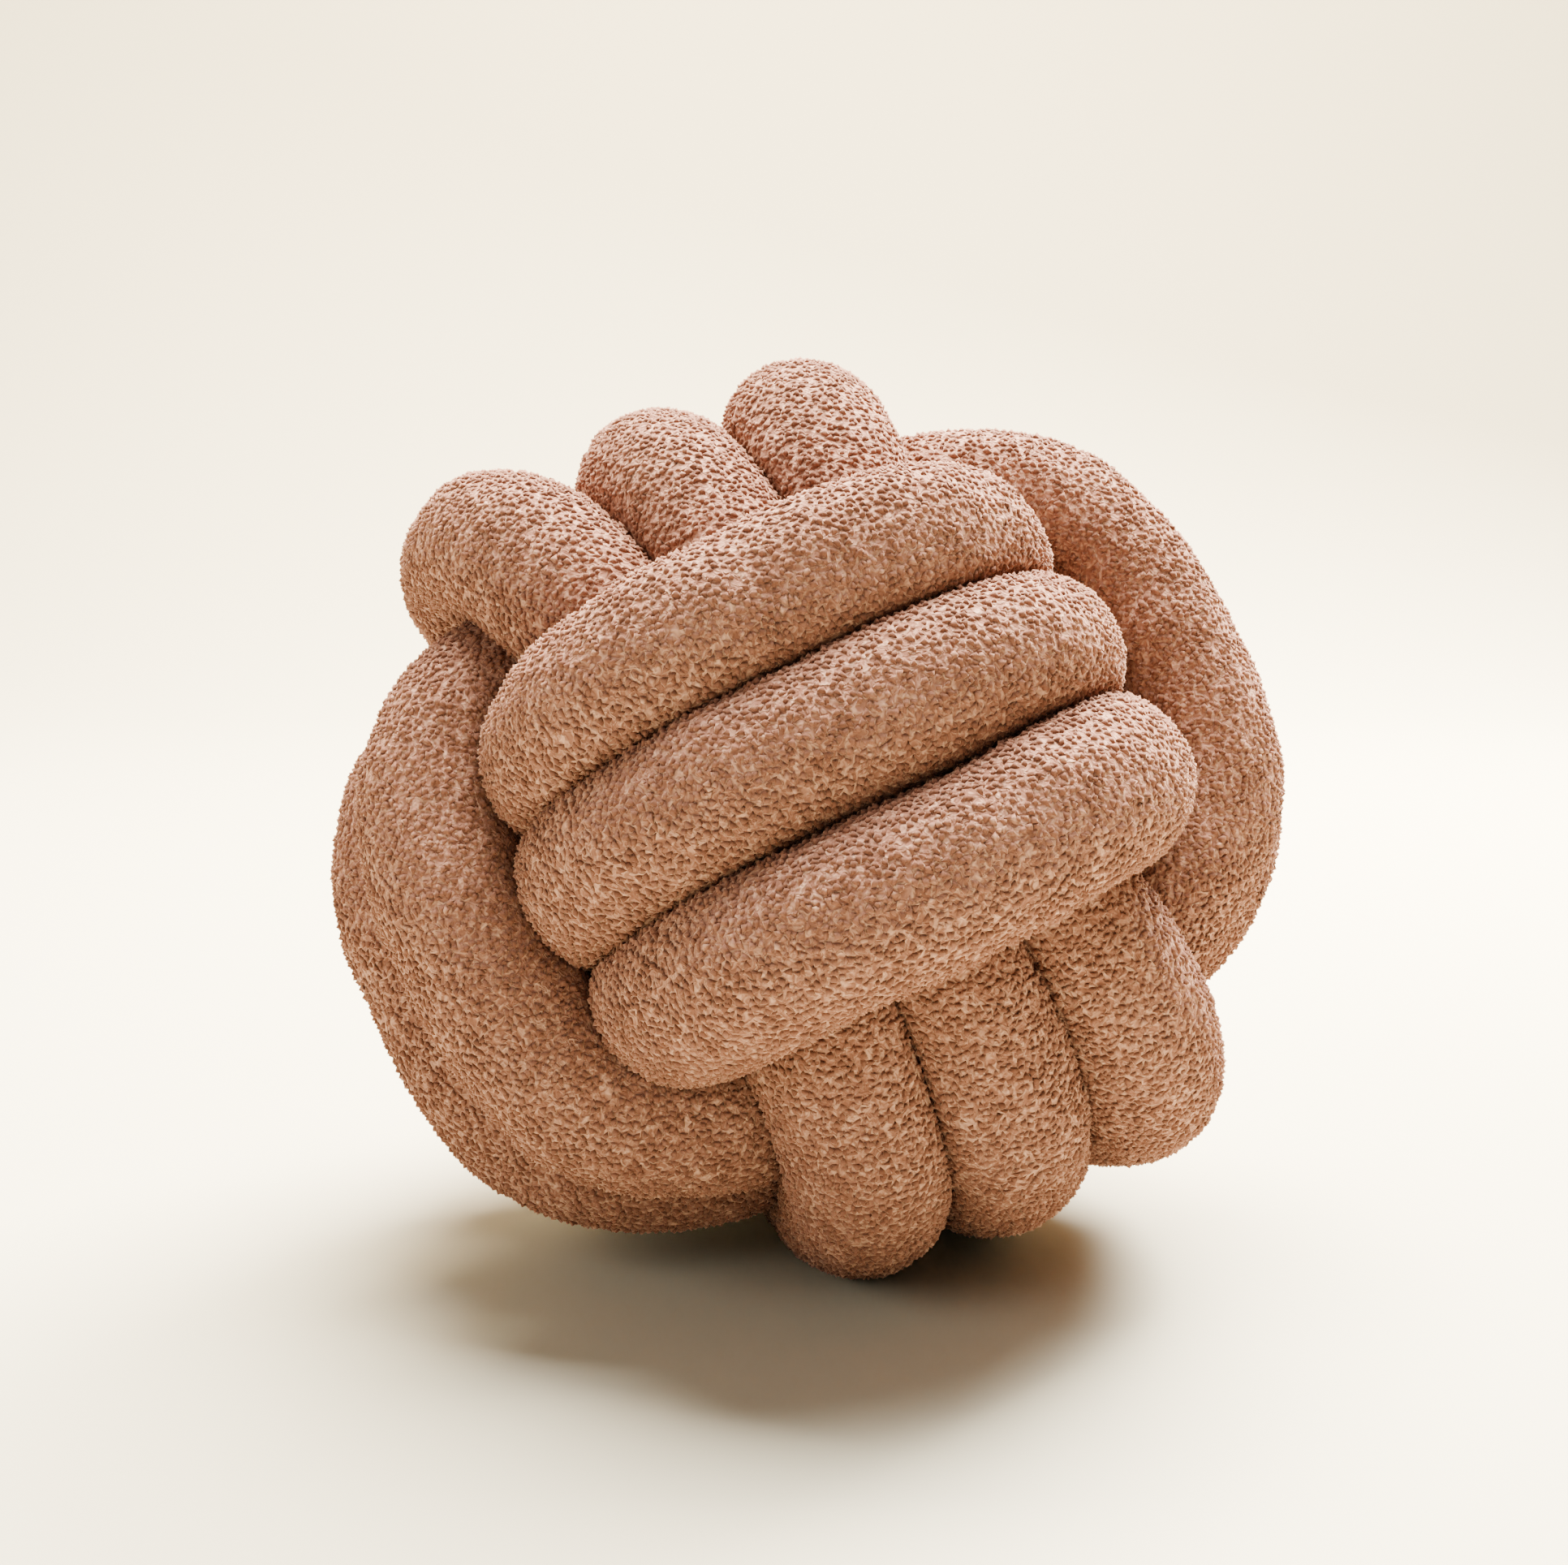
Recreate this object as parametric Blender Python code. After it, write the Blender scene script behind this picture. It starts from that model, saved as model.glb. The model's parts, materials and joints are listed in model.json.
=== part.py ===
"""A ball-shaped knot cushion: one long stuffed fleece tube, tied three passes deep.

The tube makes three turns in each of three bands that cross at right angles. Each band passes
over one neighbour and under the other, so the strands lock into a ball. The two ends are sewn
together inside the ball, so the tube is one closed loop. Each strand is squeezed flat where it
presses on the next one, and the ball rests on a small flat spot.

The knot has three axes of its own, which all point to the one corner where the tube changes
from band to band: axis 0 lies along the three front strands and points to their upper right
end, axis 1 lies across them and points up, and axis 2 points away from the viewer.
"""

import math

import bmesh
import bpy
import numpy as np
from mathutils import Matrix

# ---------------------------------------------------------------- driving dimensions (metres)
TUBE_RADIUS = 0.0216            # the stuffed tube where nothing presses on it
SQUEEZED_DISTANCE = 0.029       # nearest that two strands' centre lines come
OUTER_STRANDS = 0.1             # about how far out the outer strands lie
CONTACT_GAP = 0.0016            # left between two squeezed strands
GROOVE_ROUNDING = 0.004         # softness of the edge between a free side and a flattened one
MOST_BULGE = 1.10               # how far a squeezed strand swells on its free sides
MIDDLE_SWELL = 1.5              # how much further the inner strands swell into the ball's middle
MIDDLE_STRANDS = 0.075          # strands whose centre line lies nearer than this swell in full
FLAT_SPOT_DEPTH = 0.0105        # how much of the lowest strand the surface presses flat

RING_SQUARENESS = 3.1           # 2 is a round turn, more is a rounded square one
SLIDE_ANGLE = math.radians(42)  # a strand slides to the next turn this far each side of a pole
JOIN_ANGLE = math.radians(42)   # where a band's first turn begins, past its first pole
LEAVE_ANGLE = math.radians(278)  # where a band's last turn ends, just past its last pole

# How the knot lies on the surface
FRONT_SLOPE = math.radians(26.8)    # the front strands climb to the right
SIDE_TURN = math.radians(3.4)       # the front turns a little to the right
BACK_LEAN = math.radians(68.0)      # from lying face up to standing, less a little lean back

# Loft
POINTS_ALONG = 396              # sections around the whole loop
POINTS_ROUND = 14               # corners of one section
FINE_STEPS = 4                  # centre line points for each section when strands are compared

FLEECE_COLOUR = (0.52, 0.27, 0.17, 1.0)
FLEECE_ROUGHNESS = 0.95

BAND_STEPS = 260                # points worked out along one band's three turns

MM = 0.001

# Each row is one turn. Its four pairs are the turn's poles in the order of travel, each with
# its place along the band's own stack and its distance from the ball's centre, in millimetres:
#     near inner pole, far outer pole, far inner pole, near outer pole
# where near is the side of the shared corner. Bands are in the order of travel too.
UPRIGHT_TURNS = (
    ((-30, 68), (-35, 94), (-24, 74), (-54, 105)),
    ((0, 68), (3, 104), (0, 73), (-1, 101)),
    ((31, 67), (46, 105), (30, 67), (45, 95)),
)
FRONT_TURNS = (
    ((-19, 67), (-42, 112), (-29, 64), (-41, 107)),
    ((8, 64), (-1, 109), (1, 68), (0, 106)),
    ((30, 56), (35, 105), (37, 62), (37, 106)),
)
SIDE_TURNS = (
    ((-31, 66), (-51, 97), (-27, 70), (-29, 103)),
    ((-1, 72), (-4, 112), (-1, 75), (2, 111)),
    ((30, 68), (44, 102), (30, 70), (38, 106)),
)
BANDS = (UPRIGHT_TURNS, FRONT_TURNS, SIDE_TURNS)

# The hook by which the tube leaves one band, rounds the edge of the next but one and dives
# beneath the strands that it joins. Each point is in millimetres, along the leaving band's
# stack, its outer axis and its inner axis.
HOOK = (
    (40, 96, 42),
    (38, 76, 68),
    (34, 42, 62),
    (32, 17, 46),
    (31, -8, 14),
)


# ---------------------------------------------------------------- centre line
def turn_point(turn, angle):
    """A point of one turn as (out along pole 0, out along pole 1, along the stack), in metres."""
    quarter, rest = divmod(angle / (math.pi / 2), 1)
    first, second = turn[int(quarter) % 4], turn[(int(quarter) + 1) % 4]
    cosine, sine = math.cos(rest * math.pi / 2), math.sin(rest * math.pi / 2)
    power = RING_SQUARENESS
    reach = ((cosine / first[1]) ** power + (sine / second[1]) ** power) ** (-1 / power)
    along = first[0] + (second[0] - first[0]) * sine ** 2
    return np.array((math.cos(angle) * reach, math.sin(angle) * reach, along)) * MM


def smooth_step(value):
    """Rise from 0 to 1 with no kink at either end."""
    value = min(max(value, 0.0), 1.0)
    return value * value * (3 - 2 * value)


def band_point(turns, angle):
    """A point of a band, which slides from each turn to the next near its first pole."""
    lap = round(angle / (2 * math.pi))
    past_pole = angle - lap * 2 * math.pi
    before, after = turns[max(lap - 1, 0)], turns[min(lap, 2)]
    share = smooth_step(0.5 + past_pole / (2 * SLIDE_ANGLE))
    return turn_point(before, angle) * (1 - share) + turn_point(after, angle) * share


def band_path(index):
    """The points of one band in the knot's own axes, from its first turn to its last."""
    stack, out, inner = index, (index + 1) % 3, (index + 2) % 3
    points = []
    for angle in np.linspace(JOIN_ANGLE, 4 * math.pi + LEAVE_ANGLE, BAND_STEPS):
        along_inner, along_out, along_stack = band_point(BANDS[index], angle)
        point = np.zeros(3)
        point[stack], point[out], point[inner] = along_stack, -along_out, along_inner
        points.append(point)
    return points


def hook_path(index):
    """The points of the hook that leaves a band."""
    points = []
    for row in HOOK:
        point = np.zeros(3)
        for shift, value in enumerate(row):
            point[(index + shift) % 3] = value * MM
        points.append(point)
    return points


def spaced_evenly(points, count):
    """Points at even steps along a closed line."""
    closed = np.vstack((points, points[:1]))
    lengths = np.linalg.norm(np.diff(closed, axis=0), axis=1)
    travelled = np.concatenate(([0.0], np.cumsum(lengths)))
    wanted = np.arange(count) * travelled[-1] / count
    return np.stack([np.interp(wanted, travelled, closed[:, axis]) for axis in range(3)], axis=1)


def curve_through(points, steps):
    """A smooth closed curve through the points, with some steps in each stretch."""
    before, after = np.roll(points, 1, axis=0), np.roll(points, -1, axis=0)
    gap_before = np.linalg.norm(points - before, axis=1)[:, None]
    gap_after = np.linalg.norm(after - points, axis=1)[:, None]
    slope = ((points - before) / gap_before * gap_after + (after - points) / gap_after * gap_before)
    slope /= gap_before + gap_after
    curve = []
    for step in range(steps):
        t = step / steps
        start = (2 * t ** 3 - 3 * t ** 2 + 1) * points
        end = (3 * t ** 2 - 2 * t ** 3) * after
        leaving = (t ** 3 - 2 * t ** 2 + t) * slope * gap_after
        arriving = (t ** 3 - t ** 2) * np.roll(slope, -1, axis=0) * gap_after
        curve.append(start + end + leaving + arriving)
    return np.stack(curve, axis=1).reshape(-1, 3)


def far_along(count, length, reach):
    """Which pairs of points lie at least a reach apart along the closed line."""
    apart = np.abs(np.subtract.outer(np.arange(count), np.arange(count)))
    apart = np.minimum(apart, count - apart)
    return apart * length / count > reach


def line_length(points):
    """Length of a closed line."""
    return float(np.linalg.norm(np.roll(points, -1, axis=0) - points, axis=1).sum())


def settle(points, rounds=80):
    """Push strands apart until they lie a squeezed tube's width apart. The inner ones give way."""
    shift = np.zeros_like(points)
    depth = OUTER_STRANDS - np.linalg.norm(points, axis=1, keepdims=True)
    give = np.clip(depth / TUBE_RADIUS, 0.2, 1.0)
    others = far_along(len(points), line_length(points), 3 * TUBE_RADIUS)
    for _ in range(rounds):
        moved = points + shift
        between = moved[:, None] - moved[None]
        distance = np.linalg.norm(between, axis=2) + 1e-9
        push = np.where(others, np.clip(SQUEEZED_DISTANCE / distance - 1, 0, None), 0)
        strongest = push.max(axis=1, keepdims=True)
        total = (push[:, :, None] * between).sum(axis=1)
        shift += 0.7 * give * total * strongest / (push.sum(axis=1, keepdims=True) + 1e-9)
        for _ in range(2):
            shift = 0.5 * shift + 0.25 * (np.roll(shift, 1, axis=0) + np.roll(shift, -1, axis=0))
    return points + shift


def centre_line():
    """The tube's settled centre line in the knot's own axes."""
    route = []
    for index in range(3):
        route += band_path(index) + hook_path(index)
    smooth = curve_through(np.array(route), 6)
    settled = settle(spaced_evenly(smooth, 2 * POINTS_ALONG))
    return spaced_evenly(curve_through(settled, 4), POINTS_ALONG * FINE_STEPS)


# ---------------------------------------------------------------- sections
def frames_along(points):
    """Directions along and across the closed line, turned evenly so that the ends meet."""
    ahead = np.roll(points, -1, axis=0) - np.roll(points, 1, axis=0)
    ahead /= np.linalg.norm(ahead, axis=1, keepdims=True)
    count = len(points)
    across = np.zeros_like(points)
    across[0] = np.cross(ahead[0], (0.3, 0.5, 0.8))
    across[0] /= np.linalg.norm(across[0])
    for i in range(1, count):
        carried = across[i - 1] - ahead[i] * np.dot(across[i - 1], ahead[i])
        across[i] = carried / np.linalg.norm(carried)
    last = across[-1] - ahead[0] * np.dot(across[-1], ahead[0])
    twist = math.atan2(np.dot(np.cross(last, across[0]), ahead[0]), np.dot(last, across[0]))
    turn = np.arange(count)[:, None] * twist / count
    second = np.cross(ahead, across)
    return ahead, np.cos(turn) * across + np.sin(turn) * second


def spokes_of(ahead, across):
    """The directions in which each section reaches out from the centre line."""
    angles = np.arange(POINTS_ROUND) * 2 * math.pi / POINTS_ROUND
    second = np.cross(ahead, across)
    return (np.cos(angles)[None, :, None] * across[:, None]
            + np.sin(angles)[None, :, None] * second[:, None])


def free_reach(fine, spokes, length):
    """How far each spoke reaches before it meets the middle between two strands."""
    reach = np.full(spokes.shape[:2], 10 * TUBE_RADIUS)
    others = far_along(len(fine), length, 3 * TUBE_RADIUS)[::FINE_STEPS]
    for i, spoke in enumerate(spokes):
        to_others = fine[others[i]] - fine[i * FINE_STEPS]
        square = (to_others ** 2).sum(axis=1)
        toward = np.maximum(to_others @ spoke.T, 1e-6)
        reach[i] = (square[:, None] / (2 * toward)).min(axis=0)
    return reach - CONTACT_GAP / 2


def bend_reach(points, ahead, spokes):
    """How far each spoke reaches before it meets the spokes of the next section in a bend."""
    step = np.linalg.norm(np.roll(points, -1, axis=0) - np.roll(points, 1, axis=0), axis=1)
    bend = (np.roll(ahead, -1, axis=0) - np.roll(ahead, 1, axis=0)) / step[:, None]
    inward = np.maximum((spokes * bend[:, None]).sum(axis=2), 1e-6)
    return 0.85 / inward


def softly_less(first, second):
    """The lesser of two lengths, with the edge between them rounded."""
    return 0.5 * (first + second - np.sqrt((first - second) ** 2 + GROOVE_ROUNDING ** 2))


def middle_swell(points, spokes):
    """How much further each spoke may reach where it points into the ball's middle."""
    out = np.linalg.norm(points, axis=1)[:, None]
    inward = np.clip(-(spokes * (points / out)[:, None]).sum(axis=2), 0, 1)
    share = np.clip((OUTER_STRANDS - out) / (OUTER_STRANDS - MIDDLE_STRANDS), 0, 1)
    return 1 + MIDDLE_SWELL * inward * share


def section_reach(fine):
    """The sections' corners: centre points, spokes and how far each spoke reaches."""
    points = fine[::FINE_STEPS]
    ahead, across = frames_along(points)
    spokes = spokes_of(ahead, across)
    limit = np.minimum(free_reach(fine, spokes, line_length(points)),
                       bend_reach(points, ahead, spokes))
    start = TUBE_RADIUS + GROOVE_ROUNDING ** 2 / (4 * TUBE_RADIUS)
    plain = softly_less(start, limit)
    kept = (plain ** 2).mean(axis=1) / TUBE_RADIUS ** 2
    bulge = np.clip(kept ** -0.5, 1.0, MOST_BULGE)
    for _ in range(6):
        bulge = 0.5 * bulge + 0.25 * (np.roll(bulge, 1) + np.roll(bulge, -1))
    free = start * bulge[:, None] * middle_swell(points, spokes)
    return points, spokes, softly_less(free, limit)


def lie_down():
    """The turn from the knot's own axes to the way it lies."""
    own_axes = Matrix(((1, 0, 0), (0, 1, 0), (0, 0, -1)))
    turn = (Matrix.Rotation(BACK_LEAN, 3, "X") @ Matrix.Rotation(SIDE_TURN, 3, "Y")
            @ Matrix.Rotation(FRONT_SLOPE, 3, "Z"))
    return np.array(turn @ own_axes)


def tube_corners():
    """The loft's corners where the cushion lies, with its flat spot on the surface."""
    points, spokes, reach = section_reach(centre_line())
    corners = points[:, None] + spokes * reach[:, :, None]
    corners = corners @ lie_down().T
    corners[:, :, 2] -= corners[:, :, 2].min() + FLAT_SPOT_DEPTH
    corners[:, :, 2] = np.maximum(corners[:, :, 2], 0.0)
    middle = (corners.max(axis=(0, 1)) + corners.min(axis=(0, 1))) / 2
    corners[:, :, :2] -= middle[:2]
    return corners


# ---------------------------------------------------------------- object
def fleece_material():
    """A plain matt material in the fleece's colour."""
    material = bpy.data.materials.new("rose_fleece")
    material.use_nodes = True
    shader = material.node_tree.nodes["Principled BSDF"]
    shader.inputs["Base Color"].default_value = FLEECE_COLOUR
    shader.inputs["Roughness"].default_value = FLEECE_ROUGHNESS
    return material


def loft_mesh(name, corners):
    """A closed loop of sections, joined side to side."""
    loft = bmesh.new()
    rings = [[loft.verts.new(corner) for corner in ring] for ring in corners]
    around = len(rings[0])
    for ring, following in zip(rings, rings[1:] + rings[:1]):
        for i in range(around):
            j = (i + 1) % around
            loft.faces.new((ring[i], ring[j], following[j], following[i]))
    bmesh.ops.triangulate(loft, faces=loft.faces, quad_method="SHORT_EDGE")
    bmesh.ops.recalc_face_normals(loft, faces=loft.faces)
    mesh = bpy.data.meshes.new(name)
    loft.to_mesh(mesh)
    loft.free()
    mesh.shade_smooth()
    return mesh


def build():
    """Clear the scene and make the cushion."""
    for old in list(bpy.data.objects):
        bpy.data.objects.remove(old, do_unlink=True)
    collection = bpy.data.collections.new("knot_cushion")
    bpy.context.scene.collection.children.link(collection)
    tube = bpy.data.objects.new("knot_tube", loft_mesh("knot_tube", tube_corners()))
    tube.data.materials.append(fleece_material())
    collection.objects.link(tube)


build()
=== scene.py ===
"""The looks of a ball-shaped knot cushion tied from one long stuffed tube of teddy fleece.

The tube's course is worked out from the same named sizes as the part's own source: nine turns
in three bands and three hooks. Its skin is lofted finely along that course, strands are pressed
flat where they meet, and short curls of pile stand on every stretch of skin that shows.
"""

import json
import logging
import math
from dataclasses import dataclass, field
from enum import Enum

import bpy
import numpy as np
from mathutils import Matrix, Vector
from mathutils.bvhtree import BVHTree

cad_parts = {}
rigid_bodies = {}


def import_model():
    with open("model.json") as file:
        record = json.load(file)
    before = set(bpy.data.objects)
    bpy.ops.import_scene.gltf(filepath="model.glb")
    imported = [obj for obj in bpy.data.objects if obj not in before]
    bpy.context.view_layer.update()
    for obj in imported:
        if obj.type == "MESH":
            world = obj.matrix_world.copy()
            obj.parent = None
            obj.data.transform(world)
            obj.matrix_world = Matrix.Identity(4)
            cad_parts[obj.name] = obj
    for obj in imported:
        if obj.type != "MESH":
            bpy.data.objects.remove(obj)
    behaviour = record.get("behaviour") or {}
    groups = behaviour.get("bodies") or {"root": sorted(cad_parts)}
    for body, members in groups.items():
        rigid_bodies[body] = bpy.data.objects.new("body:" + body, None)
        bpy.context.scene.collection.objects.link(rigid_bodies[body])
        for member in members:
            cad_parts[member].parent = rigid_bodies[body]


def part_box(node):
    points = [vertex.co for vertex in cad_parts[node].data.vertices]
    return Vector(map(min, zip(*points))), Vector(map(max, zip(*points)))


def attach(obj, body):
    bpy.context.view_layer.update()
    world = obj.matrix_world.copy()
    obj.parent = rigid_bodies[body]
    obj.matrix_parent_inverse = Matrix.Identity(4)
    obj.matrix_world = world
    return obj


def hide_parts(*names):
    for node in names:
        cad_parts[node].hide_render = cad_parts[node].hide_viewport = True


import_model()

log = logging.getLogger("knot_cushion")

MM = 0.001
PHOTO_WIDTH, PHOTO_HEIGHT = 1932, 1928

Turn = tuple[tuple[float, float], ...]
Band = tuple[Turn, ...]
Triple = tuple[float, float, float]

# One row for each turn, and in it four poles in the order of travel: near inner, far outer,
# far inner and near outer. A pole is its place along the band's stack and its distance from
# the ball's centre, in millimetres. Near is the side of the corner that the bands share.
UPRIGHT_TURNS: Band = (
    ((-30, 68), (-35, 94), (-24, 74), (-54, 105)),
    ((0, 68), (3, 104), (0, 73), (-1, 101)),
    ((31, 67), (46, 105), (30, 67), (45, 95)),
)
FRONT_TURNS: Band = (
    ((-19, 67), (-42, 112), (-29, 64), (-41, 107)),
    ((8, 64), (-1, 109), (1, 68), (0, 106)),
    ((30, 56), (35, 105), (37, 62), (37, 106)),
)
SIDE_TURNS: Band = (
    ((-31, 66), (-51, 97), (-27, 70), (-29, 103)),
    ((-1, 72), (-4, 112), (-1, 75), (2, 111)),
    ((30, 68), (44, 102), (30, 70), (38, 106)),
)

# The hook by which the tube leaves a band, in millimetres along the leaving band's stack, its
# outer axis and its inner axis.
HOOK: tuple[Triple, ...] = (
    (40, 96, 42),
    (38, 76, 68),
    (34, 42, 62),
    (32, 17, 46),
    (31, -8, 14),
)

CURL_CORNERS = 6    # vertices of one curl

# Six forms of a curl: how far its middle swings to one side, how high it stands, and how far
# it reaches to the left and the right, as shares of its half length, height and half width.
CURL_FORMS: tuple[tuple[float, float, tuple[float, float]], ...] = (
    (0.15, 1.00, (1.0, 1.1)),
    (0.35, 0.85, (0.8, 1.2)),
    (-0.30, 0.95, (1.2, 0.8)),
    (0.50, 0.80, (0.9, 1.0)),
    (-0.15, 1.15, (1.1, 0.9)),
    (-0.50, 0.75, (0.8, 1.0)),
)


class FleeceShade(Enum):
    """Colours of the fleece: deep, middle and pale. On the curls, deep stands for painted shade at
    their roots and in creases and pale for painted light at their tops, mixed with their own tone;
    the ground shows all three as grain.
    """

    ROSE_BROWN = ((0.130, 0.050, 0.028), (0.222, 0.098, 0.061), (0.575, 0.338, 0.228))
    OAT = ((0.300, 0.210, 0.130), (0.640, 0.520, 0.390), (0.860, 0.760, 0.620))


class PileLength(Enum):
    """How long the pile is cut: height of a curl over the skin and spacing, in metres."""

    SHORT = (0.0010, 0.00140)
    LONG = (0.0030, 0.00380)


# ---------------------------------------------------------------- small tools
def unit(rows: np.ndarray) -> np.ndarray:
    """Each row scaled to length one."""
    return rows / np.maximum(np.linalg.norm(rows, axis=-1, keepdims=True), 1e-12)


def smooth_step(value: float) -> float:
    """Rise from 0 to 1 with no kink at either end."""
    value = min(max(value, 0.0), 1.0)
    return value * value * (3 - 2 * value)


def softly_less(first: np.ndarray, second: np.ndarray, rounding: float) -> np.ndarray:
    """The lesser of two lengths, with the edge between them rounded.

    Args:
        first: One length for each spoke.
        second: The other length for each spoke.
        rounding: How soft the change from one to the other is, in metres.

    Returns:
        The lesser lengths.
    """
    return 0.5 * (first + second - np.sqrt((first - second) ** 2 + rounding ** 2))


def smoothed(values: np.ndarray, rounds: int) -> np.ndarray:
    """Values along a closed line, evened out with their neighbours.

    Args:
        values: One row for each point of the line.
        rounds: How many times they are evened.

    Returns:
        The evened values.
    """
    for _ in range(rounds):
        values = 0.5 * values + 0.25 * (np.roll(values, 1, axis=0) + np.roll(values, -1, axis=0))
    return values


def places_of(mesh: bpy.types.Mesh) -> np.ndarray:
    """The places of a mesh's vertices."""
    places = np.zeros(len(mesh.vertices) * 3)
    mesh.vertices.foreach_get("co", places)
    return places.reshape(-1, 3)


def corners_of(mesh: bpy.types.Mesh) -> np.ndarray:
    """The vertex number of each corner of a mesh's faces."""
    numbers = np.zeros(len(mesh.loops), dtype=np.int64)
    mesh.loops.foreach_get("vertex_index", numbers)
    return numbers


def keep(mesh: bpy.types.Mesh, name: str, values: np.ndarray) -> None:
    """Keep a number for each vertex of a mesh under a name."""
    kept = mesh.attributes.new(name, "FLOAT", "POINT")
    kept.data.foreach_set("value", values.astype(np.float32))


def shown(name: str, data: bpy.types.ID) -> bpy.types.Object:
    """A new object in the scene, with that mesh, light or camera."""
    thing = bpy.data.objects.new(name, data)
    bpy.context.scene.collection.objects.link(thing)
    return thing


# ---------------------------------------------------------------- course of the tube
@dataclass
class KnotCourse:
    """The way that the tube takes through its nine turns and three hooks, in metres."""

    bands: tuple[Band, ...] = (UPRIGHT_TURNS, FRONT_TURNS, SIDE_TURNS)
    hook: tuple[Triple, ...] = HOOK
    tube_radius: float = 0.0216
    own_stretch: float = 3.0    # in radii: points nearer along the tube are the same strand
    squeezed_distance: float = 0.029
    outer_strands: float = 0.1
    squareness: float = 3.1
    slide_angle: float = math.radians(42)
    join_angle: float = math.radians(42)
    leave_angle: float = math.radians(278)
    band_steps: int = 260
    route_steps: int = 6
    settle_points: int = 792
    settle_rounds: int = 80
    settle_share: float = 0.7
    settle_evening: int = 2
    settled_steps: int = 4
    least_give: float = 0.2     # how far an outer strand gives way, where an inner one does in full
    front_slope: float = math.radians(26.8)
    side_turn: float = math.radians(3.4)
    back_lean: float = math.radians(68.0)

    def turn_point(self, turn: Turn, angle: float) -> np.ndarray:
        """A point of one turn.

        Args:
            turn: The turn's four poles.
            angle: How far round it the point lies, from its first pole.

        Returns:
            Its place outwards along pole 0, outwards along pole 1 and along the stack.
        """
        quarter, rest = divmod(angle / (math.pi / 2), 1)
        first, second = turn[int(quarter) % 4], turn[(int(quarter) + 1) % 4]
        cosine, sine = math.cos(rest * math.pi / 2), math.sin(rest * math.pi / 2)
        power = self.squareness
        reach = ((cosine / first[1]) ** power + (sine / second[1]) ** power) ** (-1 / power)
        along = first[0] + (second[0] - first[0]) * sine ** 2
        return np.array((math.cos(angle) * reach, math.sin(angle) * reach, along)) * MM

    def band_point(self, turns: Band, angle: float) -> np.ndarray:
        """A point of a band, which slides from each turn to the next near its first pole.

        Args:
            turns: The band's three turns.
            angle: How far along the band the point lies, over all its turns.

        Returns:
            Its place, as turn_point gives it.
        """
        lap = round(angle / math.tau)
        past_pole = angle - lap * math.tau
        before, after = turns[max(lap - 1, 0)], turns[min(lap, len(turns) - 1)]
        share = smooth_step(0.5 + past_pole / (2 * self.slide_angle))
        return (self.turn_point(before, angle) * (1 - share)
                + self.turn_point(after, angle) * share)

    def band_path(self, index: int) -> list[np.ndarray]:
        """The points of one band in the knot's own axes.

        Args:
            index: Which band, in the order of travel.

        Returns:
            Its points from its first turn to its last.
        """
        stack, out, inner = index, (index + 1) % 3, (index + 2) % 3
        points = []
        last = (len(self.bands[index]) - 1) * math.tau + self.leave_angle
        for angle in np.linspace(self.join_angle, last, self.band_steps):
            along_inner, along_out, along_stack = self.band_point(self.bands[index], angle)
            point = np.zeros(3)
            point[stack], point[out], point[inner] = along_stack, -along_out, along_inner
            points.append(point)
        return points

    def hook_path(self, index: int) -> list[np.ndarray]:
        """The points of the hook that leaves a band.

        Args:
            index: Which band it leaves.

        Returns:
            The hook's points in the knot's own axes.
        """
        points = []
        for row in self.hook:
            point = np.zeros(3)
            for shift, value in enumerate(row):
                point[(index + shift) % 3] = value * MM
            points.append(point)
        return points

    @staticmethod
    def length_of(points: np.ndarray) -> float:
        """Length of a closed line."""
        return float(np.linalg.norm(np.roll(points, -1, axis=0) - points, axis=1).sum())

    @staticmethod
    def spaced_evenly(points: np.ndarray, count: int) -> np.ndarray:
        """Points at even steps along a closed line.

        Args:
            points: The line's own points.
            count: How many are wanted.

        Returns:
            The evenly spaced points.
        """
        closed = np.vstack((points, points[:1]))
        lengths = np.linalg.norm(np.diff(closed, axis=0), axis=1)
        travelled = np.concatenate(([0.0], np.cumsum(lengths)))
        wanted = np.arange(count) * travelled[-1] / count
        return np.stack([np.interp(wanted, travelled, closed[:, k]) for k in range(3)], axis=1)

    @staticmethod
    def curve_through(points: np.ndarray, steps: int) -> np.ndarray:
        """A smooth closed curve through the points.

        Args:
            points: The points to pass.
            steps: How many curve points each stretch gets.

        Returns:
            The curve's points.
        """
        before, after = np.roll(points, 1, axis=0), np.roll(points, -1, axis=0)
        gap_before = np.linalg.norm(points - before, axis=1)[:, None]
        gap_after = np.linalg.norm(after - points, axis=1)[:, None]
        slope = (points - before) / gap_before * gap_after
        slope += (after - points) / gap_after * gap_before
        slope /= gap_before + gap_after
        curve = []
        for step in range(steps):
            t = step / steps
            start = (2 * t ** 3 - 3 * t ** 2 + 1) * points
            end = (3 * t ** 2 - 2 * t ** 3) * after
            leaving = (t ** 3 - 2 * t ** 2 + t) * slope * gap_after
            arriving = (t ** 3 - t ** 2) * np.roll(slope, -1, axis=0) * gap_after
            curve.append(start + end + leaving + arriving)
        return np.stack(curve, axis=1).reshape(-1, 3)

    def far_along(self, count: int, length: float) -> np.ndarray:
        """Which pairs of points lie on different strands.

        Args:
            count: How many evenly spaced points the closed line has.
            length: The line's length.

        Returns:
            A table of truth values, one row and one column for each point.
        """
        apart = np.abs(np.subtract.outer(np.arange(count), np.arange(count)))
        apart = np.minimum(apart, count - apart)
        return apart * length / count > self.own_stretch * self.tube_radius

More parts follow.
